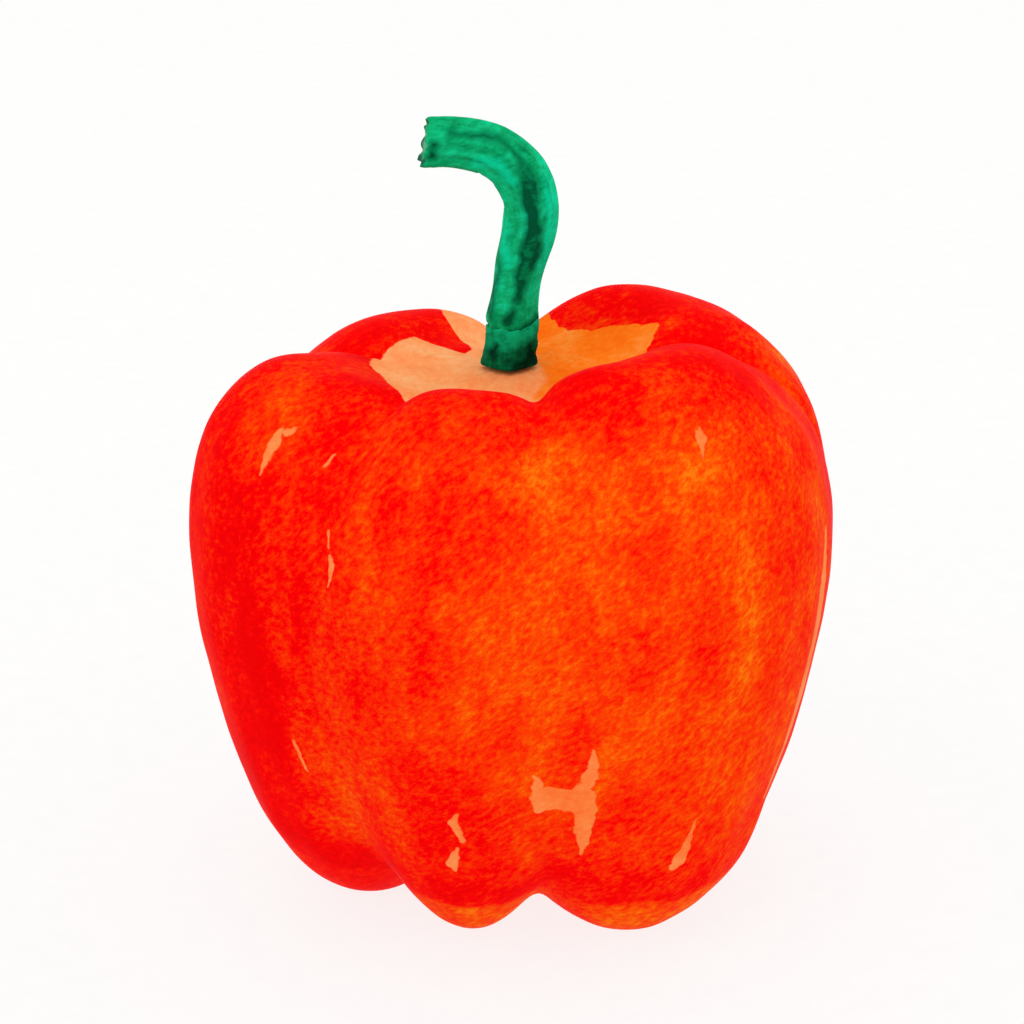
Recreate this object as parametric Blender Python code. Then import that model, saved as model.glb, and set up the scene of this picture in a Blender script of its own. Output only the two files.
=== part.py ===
"""A red bell pepper, as picked: the lobed fruit, the calyx in its hollow, and the bent, cut stem.

Blender 4.5, metres, +Z up. It stands on the feet of its lobes, all in the plane z = 0.
Azimuths are in degrees, seen from above: 0 is the front (-Y) and 90 is the right-hand side (+X).
"""

import bisect
import math
from typing import NamedTuple

import bmesh
import bpy
from mathutils import Vector

MM = 0.001

# Driving dimensions of the fruit
BELLY_RADIUS = 44.6 * MM
SHOULDER_HEIGHT = 80.5 * MM
FRUIT_SEGMENTS = 84
FRUIT_RINGS = 44
FLAT_DEPTH = 0.6 * MM
SOFT_FURROW_ROUNDING = 0.62
CREASED_FURROW_ROUNDING = 0.12
FURROW_LIFT_LOSS = 0.6

# Driving dimensions of the calyx and the stem
CALYX_RADIUS = 3.6 * MM
CALYX_HEIGHT = 5.0 * MM
CALYX_TEETH = 5
CALYX_SEGMENTS = 30
STEM_RADIUS = 3.35 * MM
STEM_RIBS = 5
STEM_SEGMENTS = 20
STEM_RINGS = 26
RIB_DEPTH = 0.05
CUT_SLANT = 0.5 * MM
CUT_JAGS = 0.45 * MM
CUT_DISH = 0.6 * MM
PIECE_GAP = 0.35 * MM


class Station(NamedTuple):
    """One station along a meridian, from the blossom end to the middle of the stem hollow.

    crest_* runs along the middle of a lobe and groove_* along the furrow between two lobes. Radii are shares
    of BELLY_RADIUS and heights are shares of SHOULDER_HEIGHT. crease is how sharp the furrow is there and
    fullness how far the lobes stay round before they dip into it. foot, belly and rise are how much of a
    lobe's own foot reach, girth and height apply there.
    """

    crest_radius: float
    crest_height: float
    groove_radius: float
    groove_height: float
    crease: float
    fullness: float
    foot: float
    belly: float
    rise: float


class Lobe(NamedTuple):
    """A lobe of the fruit: its middle, the furrow after it, and what makes it differ from its neighbours."""

    middle: float
    furrow: float
    furrow_depth: float
    girth: float
    foot_reach: float
    rise: float
    crest_reach: float


MERIDIAN = (
    Station(0.000, 0.074, 0.000, 0.074, 0.6, 1.9, 0.0, 0.0, 0.0),
    Station(0.140, 0.060, 0.150, 0.077, 0.6, 1.9, 0.3, 0.0, 0.0),
    Station(0.290, 0.025, 0.305, 0.073, 0.7, 2.0, 0.8, 0.0, 0.0),
    Station(0.460, 0.000, 0.455, 0.074, 0.8, 2.0, 1.0, 0.0, 0.0),
    Station(0.625, 0.034, 0.590, 0.108, 0.9, 2.0, 0.7, 0.3, 0.0),
    Station(0.775, 0.135, 0.720, 0.183, 0.8, 2.0, 0.3, 0.7, 0.0),
    Station(0.878, 0.262, 0.822, 0.290, 0.6, 1.9, 0.1, 0.9, 0.0),
    Station(0.952, 0.412, 0.896, 0.423, 0.5, 1.9, 0.0, 1.0, 0.0),
    Station(1.000, 0.570, 0.944, 0.568, 0.4, 1.8, 0.0, 1.0, 0.0),
    Station(1.006, 0.715, 0.952, 0.706, 0.5, 1.9, 0.0, 1.0, 0.1),
    Station(0.942, 0.855, 0.895, 0.828, 0.6, 2.1, 0.0, 1.0, 0.4),
    Station(0.800, 0.950, 0.752, 0.907, 0.8, 2.6, 0.0, 0.7, 0.8),
    Station(0.650, 0.995, 0.615, 0.954, 1.0, 3.0, 0.0, 0.3, 1.0),
    Station(0.520, 0.998, 0.495, 0.965, 1.0, 3.2, 0.0, 0.0, 1.0),
    Station(0.425, 0.976, 0.400, 0.953, 0.9, 3.0, 0.0, 0.0, 0.8),
    Station(0.325, 0.950, 0.310, 0.940, 0.8, 2.2, 0.0, 0.0, 0.3),
    Station(0.200, 0.940, 0.200, 0.938, 0.8, 2.0, 0.0, 0.0, 0.0),
    Station(0.090, 0.945, 0.090, 0.945, 0.8, 2.0, 0.0, 0.0, 0.0),
    Station(0.000, 0.947, 0.000, 0.947, 0.8, 2.0, 0.0, 0.0, 0.0),
)

LOBES = (
    Lobe(-17.0, 7.0, 1.00, 0.955, 0.86, 0.6 * MM, 0.98),
    Lobe(43.0, 88.0, 0.75, 1.010, 1.09, 3.4 * MM, 1.01),
    Lobe(133.0, 184.0, 1.80, 1.000, 1.00, 0.8 * MM, 0.97),
    Lobe(217.0, 255.0, 1.60, 0.970, 0.95, -2.7 * MM, 0.90),
    Lobe(285.0, 319.0, 1.10, 1.005, 1.05, -1.7 * MM, 1.06),
)

# The calyx from its underside to its neck: its radius, its height, and how far its teeth stand out there,
# as shares of CALYX_RADIUS and of CALYX_HEIGHT
CALYX_PROFILE = (
    (0.62, 0.05, 0.00),
    (0.98, 0.00, 0.09),
    (1.03, 0.10, 0.08),
    (0.94, 0.36, 0.05),
    (0.88, 0.70, 0.03),
    (0.87, 1.00, 0.02),
)

# The stem's centreline over the middle of the hollow: (right, back, up) in millimetres, then its girth
STEM_ROUTE = (
    (-0.7, 0.0, 5.0, 0.98),
    (-0.5, 0.0, 7.4, 0.95),
    (0.0, 0.0, 11.0, 0.90),
    (0.8, 0.1, 15.0, 0.98),
    (1.7, 0.1, 18.6, 1.05),
    (2.0, 0.1, 21.8, 1.09),
    (1.2, 0.0, 24.9, 1.09),
    (-0.7, -0.3, 27.8, 1.05),
    (-3.6, -0.8, 30.0, 1.00),
    (-7.6, -1.3, 31.0, 0.98),
    (-12.2, -1.8, 31.2, 1.00),
)


def catmull_rom(before, start, end, after, share):
    """The point a share of the way from start to end on the smooth curve through all four."""
    return tuple(
        0.5
        * (
            2.0 * b
            + (c - a) * share
            + (2.0 * a - 5.0 * b + 4.0 * c - d) * share**2
            + (3.0 * b - 3.0 * c + d - a) * share**3
        )
        for a, b, c, d in zip(before, start, end, after)
    )


def along(rows, ends, place):
    """The row at a place from 0 to len(rows) - 1, on the smooth curve through the rows and both ends."""
    padded = (ends[0], *rows, ends[1])
    index = min(int(place), len(rows) - 2)
    return catmull_rom(*padded[index : index + 4], place - index)


def over_the_pole(row):
    """A neighbour of a pole station on the far side of the axis."""
    radius, height, groove_radius, groove_height, *rest = row
    return (-radius, height, -groove_radius, groove_height, *rest)


def station_at(place):
    """The station at a place from 0 to len(MERIDIAN) - 1."""
    ends = (over_the_pole(MERIDIAN[1]), over_the_pole(MERIDIAN[-2]))
    return Station(*along(MERIDIAN, ends, place))


def evenly_spaced_places(count, last, point_at, fineness=40):
    """count + 1 places from 0 to last that are an even distance apart along point_at."""
    samples = [last * i / (count * fineness) for i in range(count * fineness + 1)]
    points = [Vector(point_at(place)) for place in samples]
    travelled = [0.0]
    for previous, point in zip(points, points[1:]):
        travelled.append(travelled[-1] + (point - previous).length)
    wanted = [travelled[-1] * i / count for i in range(count + 1)]
    return [samples[min(bisect.bisect_left(travelled, w), len(samples) - 1)] for w in wanted]


def neighbours(azimuth):
    """The lobes before and after an azimuth, with the azimuth counted on from the first one's middle."""
    count = len(LOBES)
    for index, lobe in enumerate(LOBES):
        after = LOBES[(index + 1) % count]
        span = (after.middle - lobe.middle) % 360.0
        turned = (azimuth - lobe.middle) % 360.0
        if turned < span:
            return lobe, after, turned, span
    raise ValueError(f"no lobe holds azimuth {azimuth}")


def smooth_step(share):
    """An S-shaped ramp from 0 to 1."""
    return share * share * (3.0 - 2.0 * share)


def furrow_share(lobe, turned, span, station):
    """0 on the middle of a lobe and 1 at the bottom of the furrow, creased and full as the station says."""
    to_furrow = (lobe.furrow - lobe.middle) % 360.0
    side = turned / to_furrow if turned < to_furrow else (span - turned) / (span - to_furrow)
    rounding = SOFT_FURROW_ROUNDING + (CREASED_FURROW_ROUNDING - SOFT_FURROW_ROUNDING) * station.crease
    away = math.hypot(1.0 - side, rounding) - rounding
    farthest = math.hypot(1.0, rounding) - rounding
    return (1.0 - away / farthest) ** station.fullness


def fruit_point(azimuth, place):
    """The fruit's surface at an azimuth and at a place along the meridian."""
    station = station_at(place)
    lobe, after, turned, span = neighbours(azimuth)
    mix = smooth_step(turned / span)

    def own(name):
        return getattr(lobe, name) * (1.0 - mix) + getattr(after, name) * mix

    own_depth = 1.0 + (lobe.furrow_depth - 1.0) * (1.0 - station.foot)
    depth = furrow_share(lobe, turned, span, station) * own_depth
    girth = 1.0 + (own("girth") - 1.0) * station.belly
    girth *= 1.0 + (own("foot_reach") - 1.0) * station.foot
    girth *= 1.0 + (own("crest_reach") - 1.0) * station.rise
    crest_radius = station.crest_radius * girth
    radius = crest_radius + (station.groove_radius - station.crest_radius) * depth
    height = station.crest_height + (station.groove_height - station.crest_height) * depth
    lift = own("rise") * station.rise * (1.0 - FURROW_LIFT_LOSS * depth)
    turn = math.radians(azimuth)
    up = max(height * SHOULDER_HEIGHT + lift - FLAT_DEPTH, 0.0)
    return Vector((math.sin(turn), -math.cos(turn), 0.0)) * radius * BELLY_RADIUS + Vector((0.0, 0.0, up))


def new_object(name, mesh, material, parent):
    """Links an object of that name and material under parent."""
    made = bpy.data.objects.new(name, mesh)
    bpy.context.scene.collection.objects.link(made)
    made.parent = parent
    made.data.materials.append(material)
    return made


def new_material(name, colour, roughness):
    """A Principled material with a plain colour."""
    material = bpy.data.materials.new(name)
    material.use_nodes = True
    shader = material.node_tree.nodes["Principled BSDF"]
    shader.inputs["Base Color"].default_value = (*colour, 1.0)
    shader.inputs["Roughness"].default_value = roughness
    shader.inputs["Metallic"].default_value = 0.0
    return material


def finish_mesh(bm, name, sharp_degrees):
    """The mesh of bm, with its faces out and shaded smooth except at edges sharper than sharp_degrees."""
    bmesh.ops.recalc_face_normals(bm, faces=bm.faces)
    mesh = bpy.data.meshes.new(name)
    bm.to_mesh(mesh)
    bm.free()
    mesh.shade_smooth()
    mesh.set_sharp_from_angle(angle=math.radians(sharp_degrees))
    return mesh


def add_loop(bm, segments, point_at):
    """A closed loop of vertices at point_at(turn), for evenly spaced turns round a circle."""
    made = bmesh.ops.create_circle(bm, segments=segments, radius=1.0)
    for vertex in made["verts"]:
        vertex.co = point_at(math.atan2(vertex.co.y, vertex.co.x))
    return made["verts"]


def bridge_and_cap(bm, loops):
    """Joins each loop to the next one and closes both ends. It returns the last loop's cap."""
    for lower, upper in zip(loops, loops[1:]):
        ring = {*lower, *upper}
        edges = {edge for vertex in ring for edge in vertex.link_edges if ring.issuperset(edge.verts)}
        bmesh.ops.bridge_loops(bm, edges=list(edges))
    bmesh.ops.contextual_create(bm, geom=loops[0])
    cap = bmesh.ops.contextual_create(bm, geom=loops[-1])["faces"]
    bmesh.ops.recalc_face_normals(bm, faces=bm.faces)
    return cap


def fruit_mesh():
    """A ball whose vertices are moved out to the lobed meridians."""
    places = evenly_spaced_places(
        FRUIT_RINGS,
        len(MERIDIAN) - 1,
        lambda place: (
            station_at(place).crest_radius * BELLY_RADIUS,
            station_at(place).crest_height * SHOULDER_HEIGHT,
        ),
    )
    bm = bmesh.new()
    bmesh.ops.create_uvsphere(bm, u_segments=FRUIT_SEGMENTS, v_segments=FRUIT_RINGS, radius=1.0)
    for vertex in bm.verts:
        azimuth = math.degrees(math.atan2(vertex.co.x, -vertex.co.y)) % 360.0
        from_bottom = math.acos(max(-1.0, min(1.0, -vertex.co.z)))
        ring = round(from_bottom / math.pi * FRUIT_RINGS)
        vertex.co = fruit_point(azimuth, places[ring])
    return finish_mesh(bm, "fruit", 180.0)


def hollow_floor():
    """The height of the hollow's middle, where the calyx sits."""
    return fruit_point(0.0, len(MERIDIAN) - 1).z


def calyx_mesh():
    """A short flared collar with blunt teeth round its brim."""
    bm = bmesh.new()
    loops = []
    for radius, height, tooth in CALYX_PROFILE:

        def point_at(turn, radius=radius, height=height, tooth=tooth):
            reach = (radius + tooth * math.cos(CALYX_TEETH * turn)) * CALYX_RADIUS
            return Vector((math.cos(turn) * reach, math.sin(turn) * reach, height * CALYX_HEIGHT))

        loops.append(add_loop(bm, CALYX_SEGMENTS, point_at))
    bridge_and_cap(bm, loops)
    return finish_mesh(bm, "calyx", 60.0)


def stem_point(place):
    """The stem's centreline at a place along its route, and its girth there."""
    ends = [
        tuple(2.0 * end - beside for end, beside in zip(*pair))
        for pair in (STEM_ROUTE[:2], STEM_ROUTE[:-3:-1])
    ]
    return along(STEM_ROUTE, ends, place)


def cut_reach(turn):
    """How far the torn edge of the cut stands out at a turn round the stem, counted from its upper side."""
    return -CUT_SLANT * math.cos(turn) + CUT_JAGS * math.sin(3.0 * turn + 0.6) * math.cos(4.0 * turn)


def stem_mesh():
    """A ribbed tube swept along the stem's route, closed at its foot and at its cut end."""
    places = evenly_spaced_places(STEM_RINGS, len(STEM_ROUTE) - 1, lambda place: stem_point(place)[:3])
    points = [Vector(stem_point(place)[:3]) * MM for place in places]
    bm = bmesh.new()
    loops = []
    across = Vector((1.0, 0.0, 0.0))
    ahead = Vector((0.0, 0.0, 1.0))
    for index, (place, point) in enumerate(zip(places, points)):
        if index:
            ahead = (points[min(index + 1, STEM_RINGS)] - points[index - 1]).normalized()
        across = (across - ahead * across.dot(ahead)).normalized()
        beside = ahead.cross(across)
        radius = stem_point(place)[3] * STEM_RADIUS
        cut = 1.0 if index == STEM_RINGS else 0.0

        def point_at(turn, point=point, ahead=ahead, across=across, beside=beside, radius=radius, cut=cut):
            reach = radius * (1.0 + RIB_DEPTH * math.cos(STEM_RIBS * turn))
            out = across * math.cos(turn) + beside * math.sin(turn)
            return point + out * reach + ahead * (cut * cut_reach(turn))

        loops.append(add_loop(bm, STEM_SEGMENTS, point_at))
    cap = bridge_and_cap(bm, loops)
    bmesh.ops.poke(bm, faces=cap, offset=-CUT_DISH)
    return finish_mesh(bm, "stem", 60.0)


def build():
    """Builds the three pieces round the fruit's own axis, and centres them on the fruit's outline."""
    for old in list(bpy.data.objects):
        bpy.data.objects.remove(old)
    axis = bpy.data.objects.new("pepper_axis", None)
    bpy.context.scene.collection.objects.link(axis)

    mesh = fruit_mesh()
    for side in (0, 1):
        reaches = [vertex.co[side] for vertex in mesh.vertices]
        axis.location[side] = -(min(reaches) + max(reaches)) / 2.0

    skin = new_material("red_skin", (0.86, 0.035, 0.004), 0.28)
    dark_green = new_material("dark_green_calyx", (0.004, 0.10, 0.045), 0.55)
    green = new_material("green_stem", (0.0, 0.30, 0.11), 0.50)

    seat = hollow_floor() + PIECE_GAP
    new_object("fruit", mesh, skin, axis)
    calyx = new_object("calyx", calyx_mesh(), dark_green, axis)
    calyx.location = (STEM_ROUTE[0][0] * MM, 0.0, seat)
    stem = new_object("stem", stem_mesh(), green, axis)
    stem.location = (0.0, 0.0, seat + PIECE_GAP)


build()
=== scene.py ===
"""The looks of a red bell pepper: its washed red skin, the pale hollow, the calyx and the bent green stem.

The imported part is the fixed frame. The fruit and the stem are finer copies of its pieces with the folds,
puckers, ribs and fibres worked into them, and the calyx is modelled anew over its CAD piece.
Azimuths are in degrees, seen from above: 0 is the front (-Y) and 90 is the right-hand side (+X).
"""

import logging
import math
from dataclasses import dataclass, field
from enum import Enum

import bpy
import numpy as np
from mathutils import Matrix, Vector, noise


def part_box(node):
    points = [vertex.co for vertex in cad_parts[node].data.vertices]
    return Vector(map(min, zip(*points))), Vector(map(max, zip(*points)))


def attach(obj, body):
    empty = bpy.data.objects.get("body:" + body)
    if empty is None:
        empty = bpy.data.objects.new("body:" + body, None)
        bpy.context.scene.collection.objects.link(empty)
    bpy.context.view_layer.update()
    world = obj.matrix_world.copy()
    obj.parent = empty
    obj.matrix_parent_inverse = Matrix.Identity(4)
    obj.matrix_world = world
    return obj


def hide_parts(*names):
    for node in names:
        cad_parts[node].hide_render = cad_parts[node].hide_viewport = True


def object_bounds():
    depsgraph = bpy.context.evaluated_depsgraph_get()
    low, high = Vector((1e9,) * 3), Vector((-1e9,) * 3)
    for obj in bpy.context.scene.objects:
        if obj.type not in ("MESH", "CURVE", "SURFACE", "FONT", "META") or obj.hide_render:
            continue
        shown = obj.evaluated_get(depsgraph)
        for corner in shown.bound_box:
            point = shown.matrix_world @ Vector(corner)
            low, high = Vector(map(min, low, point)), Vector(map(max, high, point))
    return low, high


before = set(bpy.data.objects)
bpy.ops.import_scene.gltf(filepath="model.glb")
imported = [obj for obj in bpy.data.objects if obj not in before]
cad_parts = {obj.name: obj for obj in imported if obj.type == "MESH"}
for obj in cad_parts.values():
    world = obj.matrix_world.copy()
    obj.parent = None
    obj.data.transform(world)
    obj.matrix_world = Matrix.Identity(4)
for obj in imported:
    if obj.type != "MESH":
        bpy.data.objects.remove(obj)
cad_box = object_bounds()

LOG = logging.getLogger("bell_pepper")
MM = 0.001
OUT_OF_REACH = -40.0
MERGE_REACH = 0.01 * MM
QUAD_FACE_ANGLE = math.radians(60.0)
QUAD_SHAPE_ANGLE = math.radians(70.0)

Colour = tuple[float, float, float]
Socket = bpy.types.NodeSocket


class Node(Enum):
    """The CAD pieces that the visual pieces stand for."""

    FRUIT = "fruit"
    CALYX = "calyx"
    STEM = "stem"


class Slot(Enum):
    """The record's material slots."""

    SKIN = "red_skin"
    CALYX = "dark_green_calyx"
    STEM = "green_stem"


class Mark(Enum):
    """The colourings that a brush stroke can leave on a piece: pale painted highlights on the skin, and dark
    and light strokes on the stem and the calyx.
    """

    # Pale marks that paint highlights on the fruit's skin.
    PALE = "pale"
    DARK = "dark"
    LIGHT = "light"


@dataclass(frozen=True)
class Stroke:
    """One brush stroke along a few points, each with the stroke's half width there.

    On the fruit a point is (azimuth in degrees, height in mm, half width in mm). On the stem and the calyx
    it is (right, up, half width), all in mm.
    """

    points: tuple[tuple[float, float, float], ...]
    mark: Mark = Mark.PALE


@dataclass(frozen=True)
class Patch:
    """A soft patch of the skin, where something changes by an amount.

    Its place is an azimuth in degrees and a height in mm, and its half width and half height are in mm.
    """

    azimuth: float
    height: float
    across: float
    tall: float
    amount: float

    def spread(self, azimuth: np.ndarray, radius: np.ndarray, height: np.ndarray) -> np.ndarray:
        """What the patch adds at each point.

        Args:
            azimuth: the points' azimuths, in degrees.
            radius: their distances from the axis, in metres.
            height: their heights, in metres.

        Returns:
            One value for each point.
        """
        across = np.radians(wrapped(azimuth - self.azimuth)) * radius / (self.across * MM)
        up = (height - self.height * MM) / (self.tall * MM)
        return self.amount * np.exp(-(across**2) - up**2)


def smooth_step(share: np.ndarray) -> np.ndarray:
    """An S-shaped ramp from 0 to 1, held outside those."""
    held = np.clip(share, 0.0, 1.0)
    return held * held * (3.0 - 2.0 * held)


def coming(distance: np.ndarray, start: float, over: float) -> np.ndarray:
    """A ramp that leaves 0 at a start and reaches 1 after a stretch, both in mm; distances are in metres."""
    return smooth_step((distance - start * MM) / (over * MM))


def going(distance: np.ndarray, end: float, over: float) -> np.ndarray:
    """A ramp from 1 that reaches 0 at an end after a stretch, both in mm; distances are in metres."""
    return smooth_step((end * MM - distance) / (over * MM))


def wrapped(degrees: np.ndarray) -> np.ndarray:
    """Angles brought to between -180 and 180 degrees."""
    return (degrees + 180.0) % 360.0 - 180.0


def around(azimuth: np.ndarray, rows: tuple[tuple[float, float], ...]) -> np.ndarray:
    """The values of (azimuth, value) rows, run smoothly round the whole circle.

    Args:
        azimuth: where the values are wanted, in degrees.
        rows: the known values, in the order of their azimuths.

    Returns:
        One value for each azimuth.
    """
    places = np.array([row[0] for row in rows])
    values = np.array([row[1] for row in rows])
    places = np.concatenate([places[-1:] - 360.0, places, places[:1] + 360.0])
    values = np.concatenate([values[-1:], values, values[:1]])
    turned = (azimuth - places[0]) % 360.0 + places[0]
    index = np.clip(np.searchsorted(places, turned, side="right") - 1, 0, len(places) - 2)
    share = smooth_step((turned - places[index]) / (places[index + 1] - places[index]))
    return values[index] * (1.0 - share) + values[index + 1] * share


class Bench:
    """Working on one mesh by hand: selecting it, and going in and out of edit mode."""

    @staticmethod
    def clear() -> None:
        """Leaves nothing selected."""
        if bpy.context.mode != "OBJECT":
            bpy.ops.object.mode_set(mode="OBJECT")
        bpy.ops.object.select_all(action="DESELECT")

    @classmethod
    def take(cls, piece: bpy.types.Object) -> None:
        """Makes one piece the only selected and active one.

        Args:
            piece: the piece.
        """
        cls.clear()
        piece.select_set(True)
        bpy.context.view_layer.objects.active = piece

    @classmethod
    def edit(cls, piece: bpy.types.Object) -> None:
        """Opens a piece in edit mode, with all of it selected.

        Args:
            piece: the piece.
        """
        cls.take(piece)
        bpy.ops.object.mode_set(mode="EDIT")
        bpy.ops.mesh.select_mode(type="FACE")
        bpy.ops.mesh.select_all(action="SELECT")

    @staticmethod
    def done() -> None:
        """Goes back to object mode."""
        bpy.ops.object.mode_set(mode="OBJECT")

    @classmethod
    def subdivide(cls, piece: bpy.types.Object, levels: int) -> None:
        """Applies a Subdivision Surface modifier.

        Args:
            piece: the piece.
            levels: how many times its faces are split.
        """
        cls.take(piece)
        modifier = piece.modifiers.new("finer", "SUBSURF")
        modifier.levels = levels
        modifier.render_levels = levels
        bpy.ops.object.modifier_apply(modifier=modifier.name)

    @classmethod
    def copy_of(cls, node: Node, name: str, slot_count: int = 1) -> bpy.types.Object:
        """A loose copy of a CAD piece's mesh, merged and turned into quads.

        Args:
            node: the CAD piece.
            name: the new piece's name.
            slot_count: how many empty material slots it gets.

        Returns:
            The new object, at the origin.
        """
        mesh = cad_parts[node.value].data.copy()
        mesh.name = name
        mesh.materials.clear()
        for _ in range(slot_count):
            mesh.materials.append(None)
        piece = bpy.data.objects.new(name, mesh)
        bpy.context.scene.collection.objects.link(piece)
        cls.edit(piece)
        bpy.ops.mesh.remove_doubles(threshold=MERGE_REACH)
        bpy.ops.mesh.customdata_custom_splitnormals_clear()
        bpy.ops.mesh.tris_convert_to_quads(face_threshold=QUAD_FACE_ANGLE, shape_threshold=QUAD_SHAPE_ANGLE)
        bpy.ops.mesh.normals_make_consistent(inside=False)
        cls.done()
        return piece

    @staticmethod
    def rows(items: bpy.types.bpy_prop_collection, key: str) -> np.ndarray:
        """Reads three numbers from each of a mesh's items.

        Args:
            items: the vertices or the normals.
            key: which of their values is read.

        Returns:
            One row for each item.
        """
        found = np.empty(len(items) * 3, np.float32)
        items.foreach_get(key, found)
        return found.reshape(-1, 3).astype(float)

    @classmethod
    def points(cls, piece: bpy.types.Object) -> np.ndarray:
        """A piece's vertices, one row each, in metres."""
        return cls.rows(piece.data.vertices, "co")

    @classmethod
    def normals(cls, piece: bpy.types.Object) -> np.ndarray:
        """A piece's vertex normals, one row each."""
        return cls.rows(piece.data.vertex_normals, "vector")

    @staticmethod
    def move_to(piece: bpy.types.Object, points: np.ndarray) -> None:
        """Puts a piece's vertices at new places."""
        piece.data.vertices.foreach_set("co", points.astype(np.float32).ravel())
        piece.data.update()

    @staticmethod
    def note(piece: bpy.types.Object, name: str, values: np.ndarray) -> None:
        """Writes one number, or one vector, per vertex as an attribute that a material reads.

        Args:
            piece: the piece.
            name: the attribute's name.
            values: one number or one row of three for each vertex.
        """
        kind, key = ("FLOAT", "value") if values.ndim == 1 else ("FLOAT_VECTOR", "vector")
        layer = piece.data.attributes.new(name, kind, "POINT")
        layer.data.foreach_set(key, values.astype(np.float32).ravel())

    @classmethod
    def settle(cls, piece: bpy.types.Object, node: Node, slot: Slot, smooth_degrees: float) -> None:
        """Shades a finished piece, joins it to the frame and lets it stand for its CAD piece.

        Args:
            piece: the piece.
            node: the CAD piece that it replaces.
            slot: its material slot in the record; not used.
            smooth_degrees: edges sharper than this stay crisp.
        """
        cls.take(piece)
        bpy.ops.object.shade_smooth_by_angle(angle=math.radians(smooth_degrees))
        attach(piece, "root")
        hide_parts(node.value)
        LOG.info("%s: %d faces", piece.name, len(piece.data.polygons))


def lumps(points: np.ndarray, size: float, seed: float) -> np.ndarray:
    """Smooth random heights from about -1 to 1, with lumps of a size in metres, one for each point."""
    shift = Vector((seed, -seed, 2.0 * seed))
    return np.array([noise.noise(Vector(point) / size + shift) for point in points])


class Graph:
    """A node tree being filled, with short ways to add and join its nodes."""

    def __init__(self, tree: bpy.types.NodeTree) -> None:
        """Starts on an empty or a new material's tree."""
        self.tree = tree

    def add(self, kind: str, inputs: dict | None = None, **settings: object) -> bpy.types.Node:
        """Adds a node.

        Args:
            kind: the node's type.
            inputs: sockets to link, or values to set, by input name or number.
            settings: the node's own properties.

        Returns:
            The new node.
        """
        node = self.tree.nodes.new(kind)
        for name, value in settings.items():
            setattr(node, name, value)
        for key, value in (inputs or {}).items():
            if isinstance(value, Socket):
                self.tree.links.new(value, node.inputs[key])
            else:
                node.inputs[key].default_value = value
        return node

    def calc(self, operation: str, *values: Socket | float, held: bool = False) -> Socket:
        """The result of a Math node, held between 0 and 1 if asked."""
        inputs = dict(enumerate(values))
        return self.add("ShaderNodeMath", inputs, operation=operation, use_clamp=held).outputs[0]

    def vector(self, operation: str, *values: Socket | tuple) -> Socket:
        """The vector result of a Vector Math node."""
        return self.add("ShaderNodeVectorMath", dict(enumerate(values)), operation=operation).outputs[0]

    def measure(self, operation: str, *values: Socket | tuple) -> Socket:
        """The number that a Vector Math node gives, such as a length or a dot product."""
        return self.add("ShaderNodeVectorMath", dict(enumerate(values)), operation=operation).outputs[1]

    def swing(self, value: Socket, amount: float | Socket) -> Socket:
        """How far a value around 0.5 is from it, times an amount."""
        return self.calc("MULTIPLY", self.calc("SUBTRACT", value, 0.5), amount)

    def remap(self, value: Socket, low: float, high: float, to_low: float, to_high: float) -> Socket:
        """A value taken smoothly from one range to another, and held there."""
        inputs = {"Value": value, "From Min": low, "From Max": high, "To Min": to_low, "To Max": to_high}
        return self.add("ShaderNodeMapRange", inputs, interpolation_type="SMOOTHSTEP").outputs[0]

    def noise(
        self, where: Socket, scale: float | Socket, detail: float = 2.0, roughness: float = 0.5
    ) -> Socket:
        """A noise pattern's value, around 0.5."""
        inputs = {"Vector": where, "Scale": scale, "Detail": detail, "Roughness": roughness}
        return self.add("ShaderNodeTexNoise", inputs, noise_dimensions="3D").outputs[0]

    def ramp(self, value: Socket, stops: tuple[tuple[float, Colour], ...]) -> Socket:
        """A colour read from a Color Ramp.

        Args:
            value: where the ramp is read, from 0 to 1.
            stops: the places and the colours, in order.

        Returns:
            The colour.
        """
        node = self.add("ShaderNodeValToRGB", {"Fac": value})
        elements = node.color_ramp.elements
        while len(elements) < len(stops):
            elements.new(0.5)
        for element, (place, colour) in zip(elements, stops):
            element.position = place
            element.color = (*colour, 1.0)
        return node.outputs["Color"]

    def mix(self, share: Socket, first: Socket | Colour, second: Socket | Colour) -> Socket:
        """Two colours mixed by a share.

        Args:
            share: how much of the second colour shows.
            first: the colour at 0.
            second: the colour at 1.

        Returns:
            The mixed colour.
        """
        inputs = {0: share}
        for key, colour in ((6, first), (7, second)):
            inputs[key] = colour if isinstance(colour, Socket) else (*colour, 1.0)
        return self.add("ShaderNodeMix", inputs, data_type="RGBA").outputs[2]

    def attribute(self, name: str, output: str = "Fac") -> Socket:
        """A per-vertex attribute of the piece."""
        return self.add("ShaderNodeAttribute", attribute_name=name).outputs[output]

    def feed(self, shader: bpy.types.Node, **values: Socket) -> None:
        """Links values to a shader's inputs, whose names have _ here for a space."""
        for name, value in values.items():
            self.tree.links.new(value, shader.inputs[name.replace("_", " ")])

    def position(self) -> Socket:
        """The place on the piece, in its own coordinates."""
        return self.add("ShaderNodeTexCoord").outputs["Object"]

    def use(self, group: bpy.types.NodeTree, inputs: dict) -> bpy.types.Node:
        """Places a shared effect, with its values for this material."""
        return self.add("ShaderNodeGroup", inputs, node_tree=group)


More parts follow.
